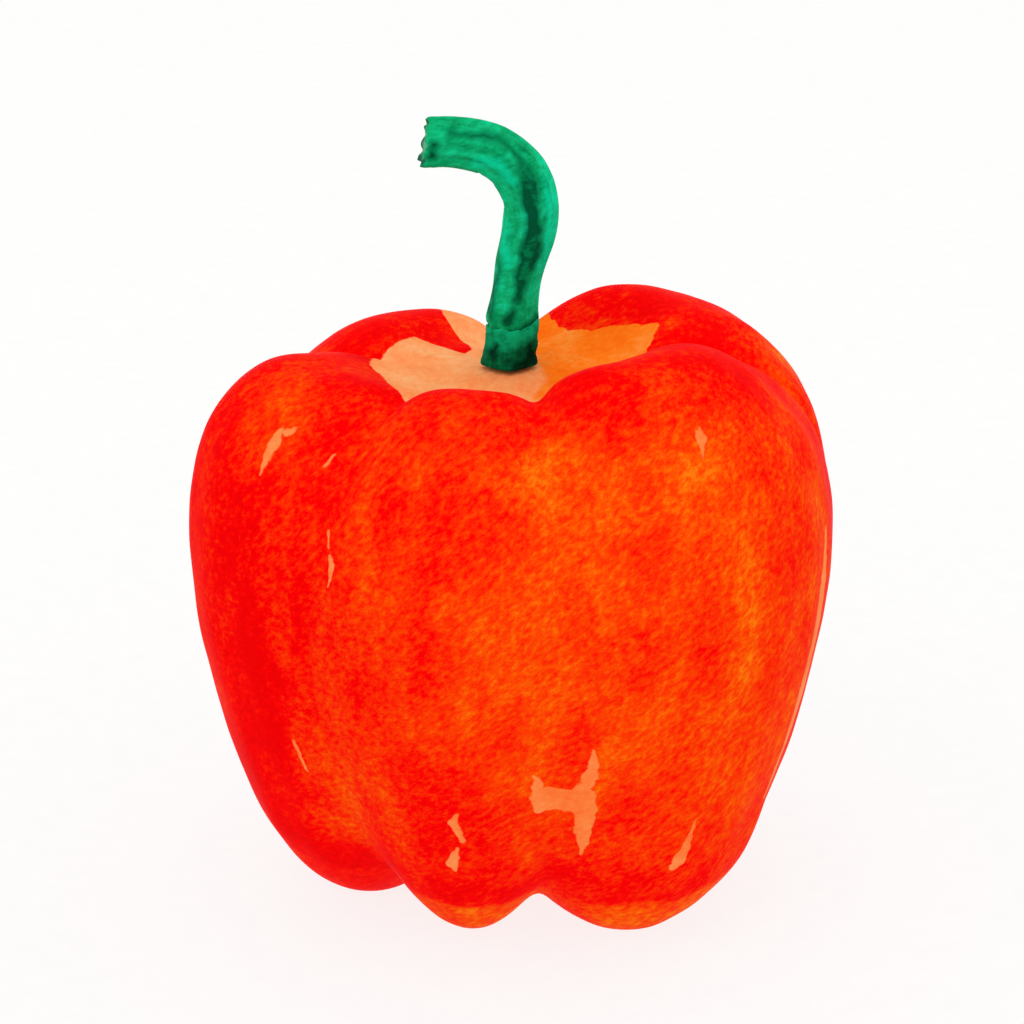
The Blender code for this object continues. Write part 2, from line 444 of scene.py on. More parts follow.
def new_group(name: str, inputs: dict[str, str], outputs: dict[str, str]) -> tuple[Graph, Socket, Socket]:
    """Starts a shared effect.

    Args:
        name: what the effect is called.
        inputs: its inputs, each with "float" or "vector".
        outputs: its outputs, in the same way.

    Returns:
        Its graph, its input node's sockets and its output node's sockets.
    """
    kinds = {"float": "NodeSocketFloat", "vector": "NodeSocketVector"}
    tree = bpy.data.node_groups.new(name, "ShaderNodeTree")
    for label, kind in inputs.items():
        tree.interface.new_socket(label, in_out="INPUT", socket_type=kinds[kind])
    for label, kind in outputs.items():
        tree.interface.new_socket(label, in_out="OUTPUT", socket_type=kinds[kind])
    graph = Graph(tree)
    given = graph.add("NodeGroupInput").outputs
    result = graph.add("NodeGroupOutput").inputs
    return graph, given, result


@dataclass(frozen=True)
class WashEffect:
    """Settled pigment: soft clouds of colour with fine slanting grains in them."""

    name: str = "pigment_wash"
    slant_degrees: float = -17.0
    grain_stretch: float = 2.5
    cloud_detail: float = 3.0
    grain_detail: float = 5.0

    def build(self) -> bpy.types.NodeTree:
        """Makes the effect's node group.

        Returns:
            The node group.
        """
        inputs = {"Position": "vector", "Cloud Scale": "float", "Grain Scale": "float"}
        inputs |= {"Cloud Amount": "float", "Grain Amount": "float"}
        graph, given, result = new_group(self.name, inputs, {"Tone": "float", "Relief": "float"})
        turned = graph.add(
            "ShaderNodeMapping",
            {
                "Vector": given["Position"],
                "Rotation": (0.0, math.radians(self.slant_degrees), 0.0),
                "Scale": (self.grain_stretch, self.grain_stretch, 1.0),
            },
            vector_type="TEXTURE",
        ).outputs[0]
        clouds = graph.noise(given["Position"], given["Cloud Scale"], self.cloud_detail, 0.55)
        grains = graph.noise(turned, given["Grain Scale"], self.grain_detail, 0.68)
        cloud_tone = graph.swing(clouds, given["Cloud Amount"])
        grain_tone = graph.swing(grains, given["Grain Amount"])
        graph.tree.links.new(graph.calc("ADD", cloud_tone, grain_tone), result["Tone"])
        graph.tree.links.new(grains, result["Relief"])
        return graph.tree


@dataclass(frozen=True)
class StrokeEffect:
    """One straight run of a brush stroke that narrows or widens, as a mask with a crisp or a wet edge."""

    name: str = "brush_stroke"

    def build(self) -> bpy.types.NodeTree:
        """Makes the effect's node group.

        Returns:
            The node group.
        """
        inputs = {"Position": "vector", "Start": "vector", "End": "vector"}
        inputs |= {"Start Width": "float", "End Width": "float", "Edge": "float"}
        graph, given, result = new_group(self.name, inputs, {"Mask": "float"})
        away = graph.vector("SUBTRACT", given["Position"], given["Start"])
        run = graph.vector("SUBTRACT", given["End"], given["Start"])
        reached = graph.measure("DOT_PRODUCT", away, run)
        whole = graph.measure("DOT_PRODUCT", run, run)
        share = graph.calc("DIVIDE", reached, whole, held=True)
        beside = graph.add("ShaderNodeVectorMath", {0: run, "Scale": share}, operation="SCALE").outputs[0]
        distance = graph.measure("LENGTH", graph.vector("SUBTRACT", away, beside))
        widening = graph.calc("SUBTRACT", given["End Width"], given["Start Width"])
        width = graph.calc("MULTIPLY_ADD", widening, share, given["Start Width"])
        inside = graph.calc("DIVIDE", graph.calc("SUBTRACT", width, distance), given["Edge"])
        mask = graph.calc("ADD", inside, 0.5, held=True)
        graph.tree.links.new(mask, result["Mask"])
        return graph.tree


@dataclass
class Effects:
    """The shared effects, each built once."""

    wash: bpy.types.NodeTree = field(default_factory=WashEffect().build)
    stroke: bpy.types.NodeTree = field(default_factory=StrokeEffect().build)

    def wash_over(
        self, graph: Graph, where: Socket, scales: tuple[float, float], amounts: tuple[float, float]
    ) -> bpy.types.NodeOutputs:
        """Places the pigment wash, with the scales and the amounts of its clouds and its grains."""
        inputs = {"Position": where, "Cloud Scale": scales[0], "Grain Scale": scales[1]}
        return graph.use(self.wash, inputs | {"Cloud Amount": amounts[0], "Grain Amount": amounts[1]}).outputs

    def paint(self, graph: Graph, where: Socket, strokes: list[Stroke], step: float, edge: float) -> Socket:
        """A mask of several strokes laid on a flat place, whose first two numbers are metres.

        Args:
            graph: the material's graph.
            where: the flat place on the piece.
            strokes: the strokes.
            step: how many metres one unit of a stroke's first number is.
            edge: how far the strokes' edges fade, in metres.

        Returns:
            1 inside any of the strokes and 0 outside.
        """
        mask = None
        for stroke in strokes:
            for first, second in zip(stroke.points, stroke.points[1:]):
                values = {"Position": where, "Edge": edge}
                for end, (across, up, width) in (("Start", first), ("End", second)):
                    values |= {end: (across * step, up * MM, 0.0), f"{end} Width": width * MM}
                found = graph.use(self.stroke, values).outputs["Mask"]
                mask = found if mask is None else graph.calc("MAXIMUM", mask, found)
        return mask


def ragged(graph: Graph, flat: Socket, where: Socket, scale: float, reach: float) -> Socket:
    """A flat place moved a little at random, which roughens the edge of whatever is drawn with it.

    Args:
        graph: the material's graph.
        flat: the flat place to move.
        where: the place on the piece, which the random pattern follows.
        scale: the pattern's scale.
        reach: how far it moves, in metres.

    Returns:
        The moved place.
    """
    pattern = graph.add("ShaderNodeTexNoise", {"Vector": where, "Scale": scale, "Detail": 2.0})
    centred = graph.vector("SUBTRACT", pattern.outputs["Color"], (0.5, 0.5, 0.5))
    moved = graph.vector("MULTIPLY", centred, (reach, reach, 0.0))
    return graph.vector("ADD", flat, moved)


def new_material(name: str) -> tuple[bpy.types.Material, Graph, bpy.types.Node]:
    """Starts a material.

    Args:
        name: the material's name.

    Returns:
        The material, its graph and its Principled shader.
    """
    material = bpy.data.materials.new(name)
    material.use_nodes = True
    return material, Graph(material.node_tree), material.node_tree.nodes["Principled BSDF"]


def bumped(graph: Graph, shader: bpy.types.Node, height: Socket, depth: float, strength: float) -> None:
    """Gives a shader a relief from a height, with a depth in metres."""
    bump = graph.add("ShaderNodeBump", {"Height": height, "Distance": depth, "Strength": strength})
    graph.feed(shader, Normal=bump.outputs[0])


@dataclass(frozen=True)
class SkinFinish:
    """The fruit's skin: waxy red washed with orange and with painted shade, pale painted highlights, and the
    stem hollow painted pale as if lit.
    """

    name: str = "red_skin"
    # The skin's colours from deep red to orange; the deep red end also serves as painted shade.
    flush_and_shade: tuple[tuple[float, Colour], ...] = (
        (0.00, (0.850, 0.0005, 0.0010)),
        (0.25, (0.955, 0.0008, 0.0012)),
        (0.40, (0.960, 0.0140, 0.0013)),
        (0.60, (0.962, 0.0430, 0.0012)),
        (0.80, (0.965, 0.0950, 0.0014)),
        (1.00, (0.970, 0.1900, 0.0040)),
    )
    # The inside of the stem hollow, peach on the left and orange on the right, is painted pale as light
    # falling into it.
    peach: tuple[tuple[float, Colour], ...] = (
        (0.0, (0.970, 0.2350, 0.0650)),
        (0.5, (0.980, 0.3450, 0.1200)),
        (1.0, (0.990, 0.4800, 0.2150)),
    )
    orange: tuple[tuple[float, Colour], ...] = (
        (0.0, (0.970, 0.1200, 0.0030)),
        (0.5, (0.980, 0.1900, 0.0080)),
        (1.0, (0.985, 0.3000, 0.0500)),
    )
    # The colour of the painted highlights on the skin.
    painted_highlight: tuple[tuple[float, Colour], ...] = (
        (0.0, (0.970, 0.1650, 0.0280)),
        (0.5, (0.975, 0.2450, 0.0580)),
        (1.0, (0.980, 0.3300, 0.1050)),
    )
    scar: Colour = (0.140, 0.036, 0.008)
    wash_scales: tuple[float, float] = (150.0, 2200.0)
    wash_amounts: tuple[float, float] = (1.25, 1.9)
    hollow_amounts: tuple[float, float] = (1.7, 1.2)
    tone_span: float = 0.79
    tone_start: float = 0.21
    band_scale: float = 95.0
    band_amount: float = 0.55
    roughness: tuple[float, float] = (0.34, 0.46)
    gloss_tint: tuple[float, float, float, float] = (1.0, 0.35, 0.12, 1.0)
    gloss: float = 0.002
    relief: float = 0.05 * MM

    def build(self, effects: Effects, strokes: tuple[Stroke, ...], per_degree: float) -> bpy.types.Material:
        """Makes the skin's material.

        Args:
            effects: the shared effects.
            strokes: the pale strokes that paint highlights on the skin.
            per_degree: how many metres one degree of azimuth is on the unrolled skin.

        Returns:
            The material.
        """
        material, graph, shader = new_material(self.name)
        where = graph.position()
        tall = graph.add("ShaderNodeMapping", {"Vector": where, "Scale": (1.0, 1.0, 0.55)}).outputs[0]
        body = effects.wash_over(graph, tall, self.wash_scales, self.wash_amounts)
        upright = graph.add("ShaderNodeMapping", {"Vector": where, "Scale": (1.0, 1.0, 0.16)}).outputs[0]
        bands = graph.swing(graph.noise(upright, self.band_scale, 1.0), self.band_amount)
        flush_and_shade = graph.calc("ADD", bands, graph.attribute("flush_and_shade"))
        tone = graph.calc("ADD", flush_and_shade, body["Tone"])
        tone = graph.calc("MULTIPLY_ADD", tone, self.tone_span, self.tone_start, held=True)
        red = graph.ramp(tone, self.flush_and_shade)

        # Painted light inside the stem hollow: a pale wash with a torn edge.
        hollow = effects.wash_over(graph, where, self.wash_scales, self.hollow_amounts)
        light = graph.calc("ADD", hollow["Tone"], 0.5, held=True)
        side = graph.remap(graph.attribute("hollow_side"), 0.25, 0.75, 0.0, 1.0)
        inner = graph.mix(side, graph.ramp(light, self.peach), graph.ramp(light, self.orange))
        torn_edge = graph.swing(graph.noise(where, 900.0, 3.0, 0.6), 0.9)
        reach = graph.calc("ADD", torn_edge, graph.attribute("hollow_reach"))
        inside = graph.remap(reach, -0.13, 0.13, 0.0, 1.0)
        colour = graph.mix(inside, red, inner)

        # Painted highlights: pale strokes with torn edges laid over the skin.
        unrolled = graph.add("ShaderNodeUVMap", uv_map="unrolled").outputs[0]
        torn = ragged(graph, unrolled, where, 750.0, 1.1 * MM)
        left = effects.paint(graph, torn, list(strokes), per_degree, 0.22 * MM)
        opacity = graph.calc("MULTIPLY", left, graph.remap(body["Relief"], 0.2, 0.7, 0.78, 1.0))
        colour = graph.mix(opacity, colour, graph.ramp(light, self.painted_highlight))
        scar = graph.remap(graph.attribute("blossom_scar"), 0.35, 0.65, 0.0, 1.0)
        colour = graph.mix(scar, colour, self.scar)

        rough = graph.remap(body["Relief"], 0.25, 0.75, *self.roughness)
        rough = graph.calc("MULTIPLY_ADD", graph.calc("MAXIMUM", inside, scar), 0.18, rough)
        graph.feed(shader, Base_Color=colour, Roughness=rough)
        shader.inputs["Specular IOR Level"].default_value = self.gloss
        shader.inputs["Specular Tint"].default_value = self.gloss_tint
        bumped(graph, shader, body["Relief"], self.relief, 0.55)
        return material


@dataclass(frozen=True)
class GreenFinish:
    """The green of the calyx and the stem: fibrous, washed in blots, with dark and light strokes that on the
    stem are painted shade between its ribs and painted highlights on them.
    """

    name: str
    wash: tuple[tuple[float, Colour], ...]
    dark: Colour
    light: Colour
    wash_scales: tuple[float, float] = (260.0, 1500.0)
    wash_amounts: tuple[float, float] = (1.2, 1.1)
    fibre_scale: float = 900.0
    roughness: tuple[float, float] = (0.42, 0.62)
    gloss_tint: tuple[float, float, float, float] = (0.1, 1.0, 0.6, 1.0)
    gloss: float = 0.008
    relief: float = 0.12 * MM

    def build(self, effects: Effects, strokes: tuple[Stroke, ...]) -> bpy.types.Material:
        """Makes the material.

        Args:
            effects: the shared effects.
            strokes: the strokes on the piece.

        Returns:
            The material.
        """
        material, graph, shader = new_material(self.name)
        where = graph.position()
        fibre = graph.attribute("fibre", "Vector")
        long_grain = graph.add("ShaderNodeMapping", {"Vector": fibre, "Scale": (1.0, 1.0, 0.12)}).outputs[0]
        fibres = graph.noise(long_grain, self.fibre_scale, 3.0, 0.6)
        pigment = effects.wash_over(graph, where, self.wash_scales, self.wash_amounts)["Tone"]
        washed = graph.calc("ADD", graph.attribute("tone"), pigment)
        tone = graph.calc("ADD", washed, graph.swing(fibres, 0.75), held=True)
        colour = graph.ramp(tone, self.wash)
        split = graph.add("ShaderNodeSeparateXYZ", {0: where}).outputs
        flat = graph.add("ShaderNodeCombineXYZ", {0: split[0], 1: split[2]}).outputs[0]
        torn = ragged(graph, flat, where, 420.0, 1.6 * MM)
        # Light strokes, then dark ones; on the stem these are painted highlights and painted shade.
        for mark, paint, opacity in ((Mark.LIGHT, self.light, 0.6), (Mark.DARK, self.dark, 0.95)):
            chosen = [stroke for stroke in strokes if stroke.mark is mark]
            if chosen:
                mask = effects.paint(graph, torn, chosen, MM, 0.9 * MM)
                grain = graph.calc("ADD", fibres, graph.calc("MULTIPLY", pigment, 1.2))
                cover = graph.calc("MULTIPLY", mask, graph.remap(grain, 0.15, 0.6, 0.45, 1.0))
                mask = graph.calc("MULTIPLY", cover, opacity)
                colour = graph.mix(mask, colour, paint)
        graph.feed(shader, Base_Color=colour, Roughness=graph.remap(fibres, 0.25, 0.75, *self.roughness))
        shader.inputs["Specular IOR Level"].default_value = self.gloss
        shader.inputs["Specular Tint"].default_value = self.gloss_tint
        bumped(graph, shader, graph.calc("ADD", fibres, pigment), self.relief, 0.6)
        return material


@dataclass(frozen=True)
class PithFinish:
    """The torn end of the stem: a dark rind round a paler, pitted pith."""

    name: str = "cut_pith"
    rings: tuple[tuple[float, Colour], ...] = (
        (0.00, (0.120, 0.330, 0.170)),
        (0.42, (0.085, 0.400, 0.190)),
        (0.68, (0.030, 0.300, 0.130)),
        (0.86, (0.003, 0.120, 0.055)),
        (1.00, (0.002, 0.090, 0.045)),
    )
    wash_scales: tuple[float, float] = (600.0, 2200.0)
    wash_amounts: tuple[float, float] = (0.5, 0.4)
    pit_scale: float = 1400.0

    def build(self, effects: Effects) -> bpy.types.Material:
        """Makes the material.

        Args:
            effects: the shared effects.

        Returns:
            The material.
        """
        material, graph, shader = new_material(self.name)
        where = graph.position()
        pigment = effects.wash_over(graph, where, self.wash_scales, self.wash_amounts)["Tone"]
        ring = graph.calc("ADD", graph.attribute("cut_radius"), pigment, held=True)
        pits = graph.noise(where, self.pit_scale, 3.0, 0.7)
        rough = graph.remap(pits, 0.3, 0.7, 0.55, 0.8)
        graph.feed(shader, Base_Color=graph.ramp(ring, self.rings), Roughness=rough)
        shader.inputs["Specular IOR Level"].default_value = 0.15
        bumped(graph, shader, pits, 0.25 * MM, 0.8)
        return material


@dataclass(frozen=True)
class Swell:
    """A place round the hollow that is pushed up, or down when its rise is below zero.

    Its azimuth and its spread are in degrees. Its rise is in mm. It comes in from the inner distance from the
    axis and has gone at the outer one, each with the stretch that it takes, in mm.
    """

    azimuth: float
    spread: float
    inner: tuple[float, float]
    outer: tuple[float, float]
    rise: float

    def share(self, azimuth: np.ndarray, radius: np.ndarray) -> np.ndarray:
        """How much of the rise each point gets, from its azimuth in degrees and its radius in metres."""
        near = np.exp(-((wrapped(azimuth - self.azimuth) / self.spread) ** 2))
        return near * (coming(radius, *self.inner) * going(radius, *self.outer))


@dataclass
class Fruit:
    """The lobed fruit, with its folds sharpened and its skin's colouring laid out round it."""

    axis: tuple[float, float] = (0.533 * MM, 0.863 * MM)
    per_degree: float = 0.7 * MM
    levels: int = 2
    folds: tuple[float, ...] = (7.0, 88.0, 184.0, 255.0, 319.0)
    fold_depth: float = 0.75 * MM
    fold_width: float = 1.5 * MM
    lump_size: float = 13.0 * MM
    lump_depth: float = 0.28 * MM
    dent_size: float = 4.5 * MM
    dent_depth: float = 0.10 * MM
    flute_count: int = 31
    flute_depth: float = 0.07 * MM
    pucker_count: int = 13
    pucker_depth: float = 0.28 * MM
    crease_count: int = 9
    crease_depth: float = 0.22 * MM
    scar_radius: float = 2.4 * MM
    scar_depth: float = 0.55 * MM
    shoulder_height: float = 60.0 * MM
    belly_height: float = 30.0 * MM
    swells: tuple[Swell, ...] = (
        Swell(181.0, 24.0, (9.0, 8.0), (39.0, 9.0), -2.4),
        Swell(17.0, 13.0, (13.0, 7.0), (37.0, 9.0), 1.4),
    )
    # Where the painted light inside the stem hollow ends: azimuth in degrees and distance from the axis in
    # mm.
    hollow: tuple[tuple[float, float], ...] = (
        (-164.0, 29.0), (-157.0, 27.5), (-152.0, 22.0), (-150.0, 16.0), (-147.0, 11.5), (-141.0, 9.6),
        (-134.5, 9.8), (-131.0, 14.0), (-127.0, 17.8), (-118.0, 18.3), (-105.0, 19.1), (-85.0, 19.8),
        (-70.0, 19.0), (-50.0, 20.7), (-32.0, 23.0), (-17.0, 22.0), (0.0, 19.5), (9.0, 16.0),
        (20.0, 19.0), (49.0, 18.5), (75.0, 17.8), (93.0, 17.7), (100.0, 19.0), (107.0, 20.4),
        (115.0, 18.8), (127.0, 17.3), (138.0, 15.3), (150.0, 15.1), (158.0, 16.4), (164.0, 18.6),
        (170.0, 23.5), (178.0, 28.0), (186.0, 30.0),
    )
    # How orange the skin is by azimuth, 0 for deep red; the deep red round the left side, from about -100 to
    # -40 degrees, is painted shade.
    flush_and_shade: tuple[tuple[float, float], ...] = (
        (-150.0, 0.38), (-125.0, 0.22), (-100.0, 0.34), (-82.0, 0.12), (-60.0, 0.01), (-46.0, 0.10),
        (-34.0, 0.28), (-18.0, 0.35), (-6.0, 0.36), (12.0, 0.42), (40.0, 0.47), (60.0, 0.50), (84.0, 0.24),
        (105.0, 0.40), (130.0, 0.24), (155.0, 0.42), (178.0, 0.28),
    )
    bulges: tuple[Patch, ...] = (
        Patch(-86.0, 75.0, 12.0, 7.0, 1.1),
        Patch(100.0, 73.0, 13.0, 9.0, 1.2),
        Patch(57.0, 9.0, 9.0, 7.0, 0.8),
    )
    blooms: tuple[Patch, ...] = (
        Patch(27.0, 70.0, 14.0, 7.5, 0.28),
        Patch(4.0, 54.0, 7.0, 9.0, 0.16),
        Patch(2.0, 44.0, 4.5, 9.0, 0.06),
        Patch(-61.0, 74.5, 6.0, 5.5, 0.52),
        Patch(-24.0, 74.0, 6.0, 6.0, 0.16),
        Patch(-3.0, 75.0, 4.5, 4.5, 0.18),
        Patch(9.0, 80.0, 4.0, 3.5, -0.34),
        Patch(60.0, 79.0, 6.0, 5.0, -0.16),
        Patch(-40.0, 53.0, 4.0, 8.0, -0.10),
        Patch(-41.0, 24.0, 6.0, 9.0, 0.34),
        Patch(24.0, 37.0, 4.5, 4.5, 0.20),
        Patch(16.0, 42.0, 4.0, 7.0, -0.12),
        Patch(-14.0, 21.0, 5.0, 5.0, -0.18),
        Patch(19.0, 23.0, 4.5, 4.5, -0.20),
        Patch(112.0, 66.0, 10.0, 9.0, 0.16),
        Patch(158.0, 52.0, 11.0, 12.0, 0.14),
        Patch(-142.0, 60.0, 11.0, 10.0, 0.16),
        Patch(-112.0, 36.0, 9.0, 10.0, 0.14),
        Patch(-170.0, 30.0, 7.0, 7.0, -0.12),
    )
    flush_foot: tuple[tuple[float, float], ...] = (
        (-150.0, 0.40), (-110.0, 0.30), (-80.0, 0.16), (-60.0, 0.12), (-42.0, 0.22), (-30.0, 0.40),
        (-22.0, 0.62), (-8.0, 0.66), (1.0, 0.56), (9.0, 0.22), (16.0, 0.24), (26.0, 0.60), (42.0, 0.66),
        (56.0, 0.50), (75.0, 0.30), (120.0, 0.36), (165.0, 0.44),
    )
    flush_crown: float = 0.05
    foot_line: float = 9.6 * MM
    rim_depth: float = 0.14
    # Painted highlights on the skin: each point is an azimuth in degrees, a height and a half width in mm.
    strokes: tuple[Stroke, ...] = (
        Stroke(((-54.9, 73.8, 0.42), (-56.4, 73.6, 0.2), (-57.2, 73.3, 0.6))),
        Stroke(((-57.2, 73.3, 0.6), (-56.7, 72.2, 0.85), (-56.3, 70.9, 0.55), (-55.7, 68.6, 0.12))),
        Stroke(((-44.3, 71.8, 0.15), (-44.6, 70.9, 0.3))),
        Stroke(((-38.3, 63.6, 0.3), (-37.3, 62.0, 0.18))),
        Stroke(((-36.7, 60.9, 0.3), (-35.9, 59.8, 0.5), (-36.3, 57.0, 0.12))),
        Stroke(((-49.8, 31.5, 0.12), (-49.1, 29.6, 0.38), (-48.3, 26.8, 0.12))),
        Stroke(((-11.6, 26.8, 0.25), (-12.3, 25.1, 0.8), (-11.5, 23.7, 0.5), (-11.1, 22.2, 0.42))),
        Stroke(((-12.3, 20.6, 0.25), (-13.0, 19.2, 0.6), (-13.9, 17.7, 0.8), (-13.4, 16.5, 0.25))),
        Stroke(((3.5, 32.8, 0.2), (4.2, 31.0, 0.75), (4.7, 29.0, 1.2), (4.8, 27.3, 0.9))),
        Stroke(((5.6, 28.6, 1.95), (9.0, 28.5, 1.75), (12.8, 28.0, 1.85))),
        Stroke(((14.3, 36.6, 0.2), (14.6, 34.0, 0.8), (13.9, 31.4, 1.1), (12.2, 29.6, 0.9))),
        Stroke(((14.0, 29.2, 1.2), (13.8, 26.6, 1.5), (14.0, 23.2, 1.25), (14.4, 20.9, 0.7))),
        Stroke(((14.4, 20.9, 0.7), (14.5, 18.9, 0.15))),
        Stroke(((36.4, 23.2, 0.1), (36.0, 20.0, 0.5), (35.5, 18.0, 0.85), (34.9, 16.6, 1.15))),
        Stroke(((34.9, 16.6, 1.15), (34.4, 15.6, 0.8))),
        Stroke(((39.4, 77.4, 0.15), (38.7, 76.6, 0.72), (38.0, 75.8, 0.45), (37.3, 74.5, 0.1))),
        Stroke(((70.0, 58.0, 0.3), (68.5, 50.0, 1.3), (67.0, 41.0, 2.2), (65.5, 32.0, 2.2))),
        Stroke(((65.5, 32.0, 2.2), (61.0, 20.0, 0.3))),
    )

    def make(self, effects: Effects, finish: SkinFinish) -> bpy.types.Object:
        """Builds the fruit and dresses it.

        Args:
            effects: the shared effects.
            finish: the skin's finish.

        Returns:
            The finished piece.
        """
        piece = Bench.copy_of(Node.FRUIT, "fruit_skin")
        Bench.subdivide(piece, self.levels)
        self.work_surface(piece)
        self.lay_out_colour(piece)
        self.unroll(piece)
        piece.data.materials[0] = finish.build(effects, self.strokes, self.per_degree)
        Bench.settle(piece, Node.FRUIT, Slot.SKIN, 180.0)
        return piece

    def polar(self, points: np.ndarray) -> tuple[np.ndarray, np.ndarray]:
        """Where points lie round the fruit's own axis.

        Args:
            points: the points, one row each.

        Returns:
            The azimuths in degrees and the distances in metres.
        """
        right = points[:, 0] - self.axis[0]
        back = points[:, 1] - self.axis[1]
        return np.degrees(np.arctan2(right, -back)), np.hypot(right, back)

    def work_surface(self, piece: bpy.types.Object) -> None:
        """Sharpens the folds and works lumps, flutes, puckers and the blossom scar into the surface.

        Args:
            piece: the fruit, already subdivided.
        """
        points = Bench.points(piece)
        azimuth, radius = self.polar(points)
        height = points[:, 2]
        inner = (height > self.shoulder_height) & (radius < 23.0 * MM)
        wander = 1.2 * np.sin(height / (9.0 * MM)) + 0.8 * np.sin(height / (4.3 * MM) + 1.0)
        move = np.zeros(len(points))
        for fold in self.folds:
            across = np.radians(wrapped(azimuth - fold - wander)) * radius
            near = np.exp(-((across / self.fold_width) ** 2))
            held = coming(radius, 9.0, 9.0) * (0.55 + 0.45 * (height > 45.0 * MM))
            move -= self.fold_depth * near * held
        body = coming(radius, 5.0, 8.0)
        move += self.lump_depth * lumps(points, self.lump_size, 3.1) * body
        move += self.dent_depth * lumps(points, self.dent_size, 7.7) * body
        flutes = np.sin(np.radians(azimuth) * self.flute_count + 2.0 * lumps(points, 25.0 * MM, 1.3))
        move += self.flute_depth * flutes * coming(radius, 26.0, 12.0)
        pull = np.cos(np.radians(azimuth) * self.pucker_count + 3.0 * lumps(points, 9.0 * MM, 5.0))
        ring = np.exp(-(((radius - 8.0 * MM) / (3.4 * MM)) ** 2)) * inner
        move += self.pucker_depth * pull * ring
        low = (height < self.belly_height) & (radius < 12.0 * MM)
        round_scar = np.exp(-(((radius - 5.5 * MM) / (2.6 * MM)) ** 2))
        creases = np.cos(np.radians(azimuth) * self.crease_count + 0.8) * round_scar
        move += self.crease_depth * creases * low
        dimple = np.exp(-((radius / self.scar_radius) ** 4)) * low
        move -= self.scar_depth * dimple
        outside = np.where(height > self.shoulder_height, coming(radius, 27.0, 7.0), 1.0)
        for bulge in self.bulges:
            move += bulge.spread(azimuth, radius, height) * MM * outside
        points += Bench.normals(piece) * move[:, None]
        for swell in self.swells:
            points[:, 2] += swell.rise * MM * swell.share(azimuth, radius) * (height > self.shoulder_height)
        points[:, 2] = np.maximum(points[:, 2], 0.0)
        Bench.move_to(piece, points)

    def lay_out_colour(self, piece: bpy.types.Object) -> None:
        """Writes how orange the skin is, painted shade included, where the painted light in the stem hollow
        ends, and the blossom scar.

        Args:
            piece: the fruit, with its surface worked.
        """
        points = Bench.points(piece)
        azimuth, radius = self.polar(points)
        height = points[:, 2]
        on_top = height > self.shoulder_height
        # The edge of the painted light in the hollow, and its peach and orange sides.
        reach = around(azimuth, self.hollow) - radius / MM
        Bench.note(piece, "hollow_reach", np.where(on_top, reach, OUT_OF_REACH))
        border = points[:, 0] + 1.7 * MM * lumps(points, 5.5 * MM, 6.6) + 0.05 * points[:, 1]
        Bench.note(piece, "hollow_side", coming(border, 1.0, 5.0))

        flush_and_shade = self.flush_at(azimuth, radius, height)
        crown = going(radius, 31.0, 6.0) * on_top
        flush_and_shade = flush_and_shade * (1.0 - crown) + self.flush_crown * crown
        line = self.foot_line + 1.3 * MM * lumps(points * np.array((1.0, 1.0, 0.2)), 7.0 * MM, 2.6)
        foot = coming(line - height, 0.0, 1.3)
        rim = coming(line + 8.0 * MM - height, 0.0, 6.0) * (1.0 - foot)
        flush_and_shade = flush_and_shade * (1.0 - foot) + around(azimuth, self.flush_foot) * foot - self.rim_depth * rim
        Bench.note(piece, "flush_and_shade", flush_and_shade)
        scar = np.exp(-((radius / self.scar_radius) ** 4)) * (height < self.belly_height)
        Bench.note(piece, "blossom_scar", scar)

    def flush_at(self, azimuth: np.ndarray, radius: np.ndarray, height: np.ndarray) -> np.ndarray:
        """How orange the skin is: 0 for deep red to 1 for orange; the deep red round the left side is painted
        shade.

        Args:
            azimuth: the azimuths, in degrees.
            radius: the distances from the fruit's axis, one for each azimuth.
            height: the heights, one for each azimuth.

        Returns:
            One value for each azimuth.
        """
        shoulder = coming(height, 73.0, 8.0)
        low = going(height, 25.0, 11.0)
        flush_and_shade = around(azimuth, self.flush_and_shade) * (1.0 - 0.5 * shoulder - 0.45 * low)
        for bloom in self.blooms:
            flush_and_shade += bloom.spread(azimuth, radius, height)
        return flush_and_shade

    def unroll(self, piece: bpy.types.Object) -> None:
        """Lays the skin out flat in a UV map, azimuth across and height up, in metres.

        Args:
            piece: the fruit, with its surface worked.
        """
        mesh = piece.data
        corners = np.empty(len(mesh.loops), np.int32)
        mesh.loops.foreach_get("vertex_index", corners)
        starts = np.empty(len(mesh.polygons), np.int32)
        mesh.polygons.foreach_get("loop_start", starts)
        totals = np.diff(np.append(starts, len(corners)))
        points = Bench.points(piece)[corners]
        azimuth, _ = self.polar(points)
        span = np.maximum.reduceat(azimuth, starts) - np.minimum.reduceat(azimuth, starts)
        split = np.repeat(span > 180.0, totals)
        azimuth = np.where(split & (azimuth < 0.0), azimuth + 360.0, azimuth)
        layer = mesh.uv_layers.new(name="unrolled")
        flat = np.column_stack([azimuth * self.per_degree, points[:, 2]])
        layer.data.foreach_set("uv", flat.astype(np.float32).ravel())


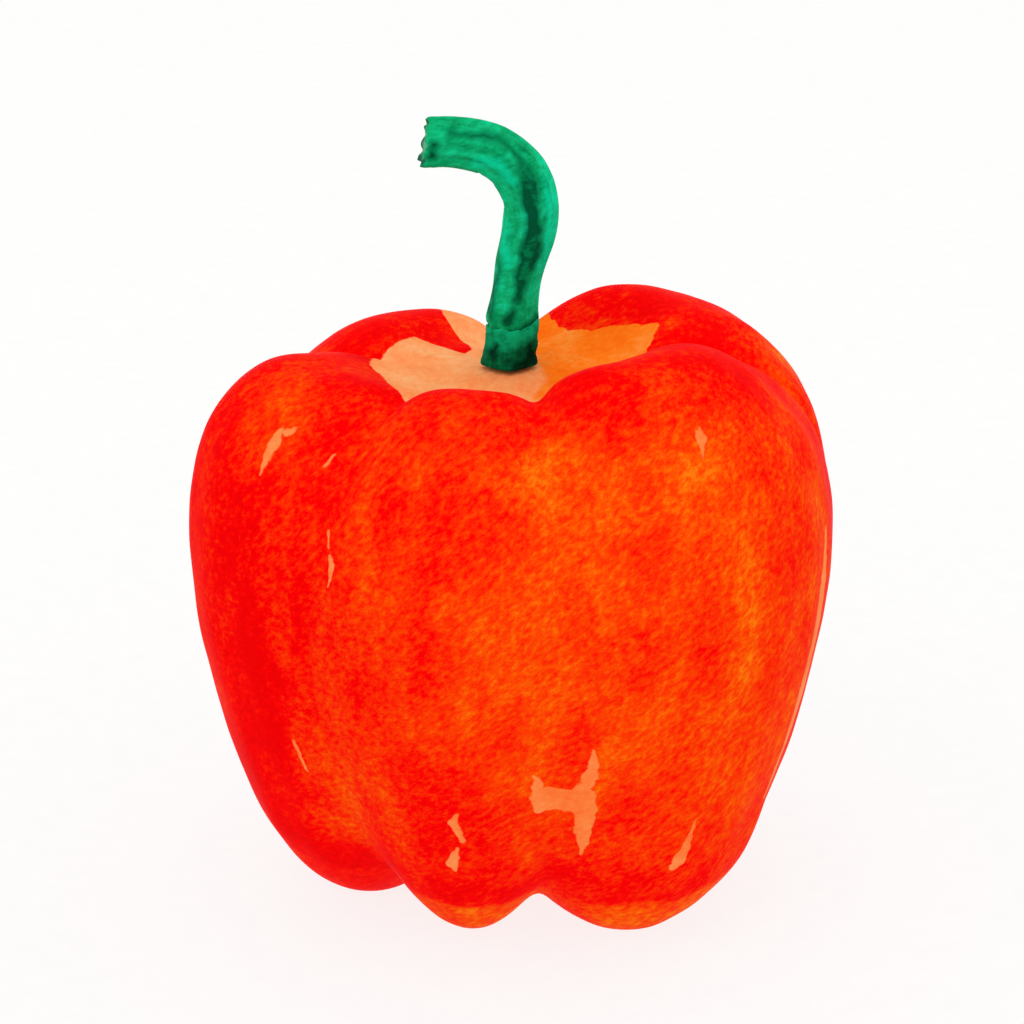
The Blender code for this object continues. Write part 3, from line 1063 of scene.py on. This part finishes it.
@dataclass
class Calyx:
    """The dark green collar in the hollow: a flared ring with short torn teeth, built over its CAD piece."""

    sides: int = 36
    levels: int = 2
    rings: tuple[tuple[float, float], ...] = (
        (2.90, 0.30), (3.60, 0.02), (3.80, 0.25), (3.68, 0.95), (3.56, 2.1), (3.52, 3.3), (3.56, 4.3),
        (3.60, 5.2), (3.53, 5.85), (3.38, 5.95), (3.00, 5.6), (2.60, 5.2),
    )
    tooth_count: int = 5
    tooth_reach: float = 0.26 * MM
    wart_depth: float = 0.20 * MM
    pore_depth: float = 0.10 * MM
    lip_slope: float = 0.11
    lip_tear: float = 0.45 * MM
    lean: float = 0.45 * MM
    strokes: tuple[Stroke, ...] = (
        Stroke(((1.0, 76.6, 1.0), (2.6, 77.0, 1.1), (2.4, 79.6, 0.5)), Mark.DARK),
        Stroke(((-2.6, 78.2, 0.7), (-2.2, 79.6, 0.4)), Mark.DARK),
    )

    def make(self, effects: Effects, finish: GreenFinish) -> bpy.types.Object:
        """Builds the calyx and dresses it.

        Args:
            effects: the shared effects.
            finish: the calyx's finish.

        Returns:
            The finished piece.
        """
        low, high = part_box(Node.CALYX.value)
        middle = (low + high) / 2.0
        seat = Vector((middle.x - self.lean, middle.y, low.z))
        piece = self.extrude_collar(seat)
        Bench.subdivide(piece, self.levels)
        self.tear_teeth(piece, seat)
        piece.data.materials.append(finish.build(effects, self.strokes))
        Bench.settle(piece, Node.CALYX, Slot.CALYX, 180.0)
        return piece

    def extrude_collar(self, seat: Vector) -> bpy.types.Object:
        """Raises the collar from a filled circle by extruding and widening it ring by ring.

        Args:
            seat: the middle of the collar's underside.

        Returns:
            The plain collar.
        """
        Bench.clear()
        radius, height = self.rings[0]
        place = seat + Vector((0.0, 0.0, height * MM))
        bpy.ops.mesh.primitive_circle_add(
            vertices=self.sides, radius=radius * MM, fill_type="NGON", location=place
        )
        piece = bpy.context.object
        piece.name = "calyx_collar"
        bpy.ops.object.transform_apply(location=True, rotation=True, scale=True)
        Bench.edit(piece)
        for (radius, height), (next_radius, next_height) in zip(self.rings, self.rings[1:]):
            rise = (next_height - height) * MM
            place = place + Vector((0.0, 0.0, rise))
            bpy.ops.mesh.extrude_region_move(TRANSFORM_OT_translate={"value": (0.0, 0.0, rise)})
            widen = next_radius / radius
            bpy.ops.transform.resize(value=(widen, widen, 1.0), center_override=place)
        bpy.ops.mesh.select_all(action="SELECT")
        bpy.ops.mesh.normals_make_consistent(inside=False)
        Bench.done()
        return piece

    def tear_teeth(self, piece: bpy.types.Object, seat: Vector) -> None:
        """Pushes the teeth out, roughens the brim, tears the lip and notes what the finish reads.

        Args:
            piece: the collar, already subdivided.
            seat: the middle of its underside.
        """
        points = Bench.points(piece)
        right = points[:, 0] - seat.x
        back = points[:, 1] - seat.y
        turn = np.arctan2(right, -back)
        up = points[:, 2] - seat.z
        brim = going(up, 1.6, 1.4)
        wave = np.cos(turn * self.tooth_count + 0.9 * lumps(points, 4.0 * MM, 2.2))
        move = self.tooth_reach * wave * (0.35 + 0.65 * brim)
        move += self.wart_depth * lumps(points, 1.1 * MM, 4.4) * coming(up, 0.0, 0.4)
        move += self.pore_depth * lumps(points, 0.5 * MM, 9.1) * coming(up, 0.0, 0.4)
        side = Bench.normals(piece)
        side[:, 2] *= 0.2
        points += side * move[:, None]
        points[:, 2] = np.clip(points[:, 2], seat.z, None)
        points[:, 0] += self.lean * coming(up, 0.0, 4.5)
        lip = coming(up, 3.6, 2.0)
        tear = self.lip_tear * lumps(points * np.array((1.0, 1.0, 0.1)), 1.3 * MM, 5.2)
        points[:, 2] += lip * (self.lip_slope * right + tear)
        Bench.move_to(piece, points)
        diagonal = up - 0.28 * right
        Bench.note(piece, "tone", 0.34 + 0.50 * coming(diagonal, 1.8, 2.8))
        Bench.note(piece, "fibre", points)


@dataclass
class Stem:
    """The bent stem, with its ribs, fibres and torn end worked into a finer copy of the CAD piece."""

    levels: int = 2
    route: tuple[tuple[float, float, float], ...] = (
        (-0.7, 0.0, 5.0), (-0.5, 0.0, 7.4), (0.0, 0.0, 11.0), (0.8, 0.1, 15.0), (1.7, 0.1, 18.6),
        (2.0, 0.1, 21.8), (1.2, 0.0, 24.9), (-0.7, -0.3, 27.8), (-3.6, -0.8, 30.0), (-7.6, -1.3, 31.0),
        (-12.2, -1.8, 31.2),
    )
    radius: float = 3.35 * MM
    ribs: int = 5
    rib_depth: float = 0.16 * MM
    fibre_depth: float = 0.16 * MM
    knot_depth: float = 0.28 * MM
    foot_depth: float = 0.14 * MM
    seat_gap: float = 0.3 * MM
    # Dark strokes are painted shade along the grooves between the ribs, and light strokes are painted
    # highlights on the ribs; each point is right, up and half width in mm.
    strokes: tuple[Stroke, ...] = (
        Stroke(((1.9, 104.0, 0.8), (2.2, 102.0, 1.5), (2.7, 98.4, 1.1), (2.9, 94.6, 1.15)), Mark.DARK),
        Stroke(((2.9, 94.6, 1.15), (2.3, 92.2, 1.6), (1.4, 89.2, 1.0), (0.8, 86.0, 0.8)), Mark.DARK),
        Stroke(((1.4, 104.8, 0.4), (0.1, 106.7, 0.35), (-1.9, 108.3, 0.35), (-8.1, 109.3, 0.3)), Mark.DARK),
        Stroke(((-1.6, 91.6, 0.12), (-2.0, 88.6, 0.28), (-2.5, 86.0, 0.35), (-3.0, 83.2, 0.3)), Mark.DARK),
        Stroke(((-10.0, 108.0, 0.55), (-10.4, 106.4, 0.7)), Mark.DARK),
        Stroke(((1.0, 81.2, 0.7), (3.2, 82.2, 1.0)), Mark.DARK),
        Stroke(((-0.6, 83.0, 0.8), (0.4, 84.6, 0.5)), Mark.DARK),
        Stroke(((4.4, 103.4, 0.5), (5.2, 99.4, 0.7), (5.1, 95.0, 0.65), (4.1, 90.0, 0.4)), Mark.LIGHT),
        Stroke(((-4.6, 105.4, 0.8), (-1.8, 105.0, 0.8), (0.1, 102.6, 0.6)), Mark.LIGHT),
        Stroke(((-0.9, 96.0, 0.5), (-0.6, 90.4, 0.45)), Mark.LIGHT),
    )

    def make(self, effects: Effects, finish: GreenFinish, pith: PithFinish) -> bpy.types.Object:
        """Builds the stem and dresses it.

        Args:
            effects: the shared effects.
            finish: the stem's green.
            pith: the finish of its torn end.

        Returns:
            The finished piece.
        """
        piece = Bench.copy_of(Node.STEM, "stem_stalk", slot_count=2)
        self.mark_end(piece)
        Bench.subdivide(piece, self.levels)
        self.work_surface(piece)
        piece.data.materials[0] = finish.build(effects, self.strokes)
        piece.data.materials[1] = pith.build(effects)
        Bench.settle(piece, Node.STEM, Slot.STEM, 50.0)
        return piece

    def centreline(self) -> np.ndarray:
        """Points along the middle of the stem, close together.

        Returns:
            The points, one row each, in metres.
        """
        low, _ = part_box(Node.STEM.value)
        rows = np.array(self.route)
        places = np.linspace(0.0, len(rows) - 1.0, 160)
        line = np.column_stack([np.interp(places, np.arange(len(rows)), rows[:, k]) for k in range(3)]) * MM
        foot = np.array((Fruit.axis[0], Fruit.axis[1], low.z - line[0, 2]))
        return line + foot

    def mark_end(self, piece: bpy.types.Object) -> None:
        """Gives the faces of the torn end their own slot, and keeps their rim crisp.

        Args:
            piece: the stem, not yet subdivided.
        """
        low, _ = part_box(Node.STEM.value)
        for face in piece.data.polygons:
            if face.center.x < low.x + 1.6 * MM and face.normal.x < -0.6:
                face.material_index = 1
        creases = piece.data.attributes.new("crease_edge", "FLOAT", "EDGE")
        ends = {}
        for face in piece.data.polygons:
            for key in face.edge_keys:
                ends.setdefault(key, set()).add(face.material_index)
        values = [0.75 if len(ends.get(edge.key, ())) > 1 else 0.0 for edge in piece.data.edges]
        creases.data.foreach_set("value", values)

    def work_surface(self, piece: bpy.types.Object) -> None:
        """Works ribs, fibres and knots into the surface, and notes what the finishes read.

        Args:
            piece: the stem, already subdivided.
        """
        points = Bench.points(piece)
        line = self.centreline()
        steps = np.linalg.norm(np.diff(line, axis=0), axis=1)
        travelled = np.concatenate([[0.0], np.cumsum(steps)])
        gaps = np.linalg.norm(points[:, None, :] - line[None, :, :], axis=2)
        nearest = gaps.argmin(axis=1)
        ahead = np.gradient(line, axis=0)
        ahead /= np.linalg.norm(ahead, axis=1)[:, None]
        out = points - line[nearest]
        forward = ahead[nearest]
        out -= forward * (out * forward).sum(axis=1)[:, None]
        reach = np.linalg.norm(out, axis=1)
        beside = np.cross(forward, np.array((0.0, 1.0, 0.0)))
        beside /= np.linalg.norm(beside, axis=1)[:, None]
        over = np.cross(beside, forward)
        turn = np.arctan2((out * over).sum(axis=1), (out * beside).sum(axis=1))
        along = travelled[nearest]
        share = along / travelled[-1]
        straight = np.column_stack([np.cos(turn) * reach, np.sin(turn) * reach, along])

        skin = smooth_step((reach / self.radius - 0.55) / 0.3)
        sunk = going(along, 1.6, 1.6)
        wobble = 0.5 * lumps(straight, 12.0 * MM, 6.0)
        move = self.rib_depth * np.cos(turn * self.ribs * 2.0 + 3.0 * wobble) * skin
        squeezed = straight * np.array((1.0, 1.0, 0.16))
        move += self.fibre_depth * lumps(squeezed, 1.0 * MM, 2.0) * skin
        move += self.knot_depth * lumps(straight, 5.0 * MM, 8.0) * skin
        foot = going(along, 3.2, 2.2) - 2.6 * going(along, 0.9, 0.9)
        move += self.foot_depth * foot * skin
        move += 0.12 * MM * lumps(straight, 0.7 * MM, 5.0) * smooth_step((share - 0.93) / 0.05)
        points += Bench.normals(piece) * move[:, None]
        torn = smooth_step((share - 0.965) / 0.03) * skin
        points += forward * (0.34 * MM * lumps(points, 0.9 * MM, 3.3) * torn)[:, None]
        low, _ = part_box(Node.STEM.value)
        points[:, 2] = np.maximum(points[:, 2], low.z) - self.seat_gap * sunk
        Bench.move_to(piece, points)

        # Lighter along the stem's sides as seen from the front, and darker at its foot by the calyx.
        edge = np.abs(points[:, 0] - line[nearest][:, 0]) / self.radius * (share < 0.72)
        tone = 0.51 + 0.14 * smooth_step((edge - 0.5) / 0.5) - 0.24 * smooth_step((0.10 - share) / 0.10)
        Bench.note(piece, "tone", tone)
        Bench.note(piece, "fibre", straight)
        Bench.note(piece, "cut_radius", reach / self.radius)


@dataclass(frozen=True)
class FloorFinish:
    """Plain matt white board, lit a little from below as a light table is."""

    name: str = "white_board"
    low: Colour = (0.13, 0.13, 0.129)
    high: Colour = (0.15, 0.15, 0.149)
    glow: tuple[float, float, float, float] = (1.0, 1.0, 0.995, 1.0)
    glow_strength: float = 0.835

    def build(self) -> bpy.types.Material:
        """Makes the material.

        Returns:
            The material.
        """
        material, graph, shader = new_material(self.name)
        where = graph.position()
        tooth = graph.noise(where, 260.0, 3.0, 0.6)
        colour = graph.ramp(tooth, ((0.3, self.low), (0.7, self.high)))
        graph.feed(shader, Base_Color=colour, Roughness=graph.remap(tooth, 0.3, 0.7, 0.85, 0.95))
        shader.inputs["Specular IOR Level"].default_value = 0.1
        shader.inputs["Emission Color"].default_value = self.glow
        shader.inputs["Emission Strength"].default_value = self.glow_strength
        bumped(graph, shader, tooth, 0.15 * MM, 0.35)
        return material


@dataclass(frozen=True)
class Lamp:
    """A soft square light, by its place, its side and its power."""

    name: str
    place: tuple[float, float, float]
    side: float
    power: float
    colour: Colour = (1.0, 1.0, 1.0)


@dataclass
class Studio:
    """A white floor, an even white room, soft lamps and the camera."""

    floor_reach: float = 4.0
    room_strength: float = 0.88
    room_colour: tuple[float, float, float, float] = (1.0, 0.995, 0.985, 1.0)
    elevation: float = 22.0
    lens: float = 130.0
    film: float = 36.0
    view_width: float = 0.1408
    lamps: tuple[Lamp, ...] = (
        Lamp("key", (-0.45, -0.55, 0.75), 0.6, 1.0),
        Lamp("fill", (0.60, -0.45, 0.35), 0.6, 0.4),
        Lamp("top", (0.05, 0.10, 0.95), 0.7, 1.3),
    )

    def make(self, finish: FloorFinish) -> None:
        """Builds the floor, the room's light, the lamps and the camera.

        Args:
            finish: the floor's finish.
        """
        low, high = cad_box
        target = Vector((0.0, 0.0, (low[2] + high[2]) / 2.0 - 1.0 * MM))
        Bench.clear()
        bpy.ops.mesh.primitive_plane_add(size=2.0 * self.floor_reach, location=(0.0, 0.0, 0.0))
        floor = bpy.context.object
        floor.name = "floor"
        floor.data.materials.append(finish.build())
        self.light_room()
        for lamp in self.lamps:
            self.hang(lamp, target)
        self.set_camera(target)
        LOG.info("studio: %d lamps", len(self.lamps))

    def light_room(self) -> None:
        """Lights the room evenly."""
        world = bpy.data.worlds.new("room")
        bpy.context.scene.world = world
        world.use_nodes = True
        background = world.node_tree.nodes["Background"]
        background.inputs["Color"].default_value = self.room_colour
        background.inputs["Strength"].default_value = self.room_strength
        bpy.context.scene.view_settings.view_transform = "Standard"

    def hang(self, lamp: Lamp, target: Vector) -> None:
        """Hangs one lamp.

        Args:
            lamp: the lamp.
            target: the place that it is turned to.
        """
        light = bpy.data.lights.new(lamp.name, "AREA")
        light.energy = lamp.power
        light.size = lamp.side
        light.color = lamp.colour
        holder = bpy.data.objects.new(lamp.name, light)
        bpy.context.scene.collection.objects.link(holder)
        holder.location = lamp.place
        holder.rotation_euler = (target - holder.location).to_track_quat("-Z", "Y").to_euler()

    def set_camera(self, target: Vector) -> None:
        """Puts the camera in front, looking down at the target.

        Args:
            target: the place in the middle of its view.
        """
        data = bpy.data.cameras.new("camera")
        data.lens = self.lens
        data.sensor_width = self.film
        camera = bpy.data.objects.new("camera", data)
        bpy.context.scene.collection.objects.link(camera)
        tilt = math.radians(self.elevation)
        away = Vector((0.0, -math.cos(tilt), math.sin(tilt)))
        camera.location = target + away * (self.view_width * self.lens / self.film)
        camera.rotation_euler = (target - camera.location).to_track_quat("-Z", "Y").to_euler()
        bpy.context.scene.camera = camera


CALYX_GREEN = GreenFinish(
    name="dark_green_calyx",
    wash=(
        (0.0, (0.0010, 0.0260, 0.0120)),
        (0.5, (0.0022, 0.1350, 0.0500)),
        (1.0, (0.0040, 0.4300, 0.1900)),
    ),
    dark=(0.0008, 0.0150, 0.0080),
    light=(0.004, 0.320, 0.150),
)
STEM_GREEN = GreenFinish(
    name="green_stem",
    wash=(
        (0.00, (0.0008, 0.1250, 0.0420)),
        (0.35, (0.0030, 0.3350, 0.1200)),
        (0.60, (0.0060, 0.4800, 0.1950)),
        (1.00, (0.0060, 0.7400, 0.3900)),
    ),
    # Painted shade and painted highlights for the stem's strokes.
    dark=(0.0008, 0.0620, 0.0230),
    light=(0.002, 0.720, 0.400),
)


def main() -> None:
    """Builds the pieces in order, then the studio round them."""
    logging.basicConfig(level=logging.INFO, format="%(name)s: %(message)s")
    effects = Effects()
    Fruit().make(effects, SkinFinish())
    Calyx().make(effects, CALYX_GREEN)
    Stem().make(effects, STEM_GREEN, PithFinish())
    Studio().make(FloorFinish())


if __name__ == "__main__":
    main()
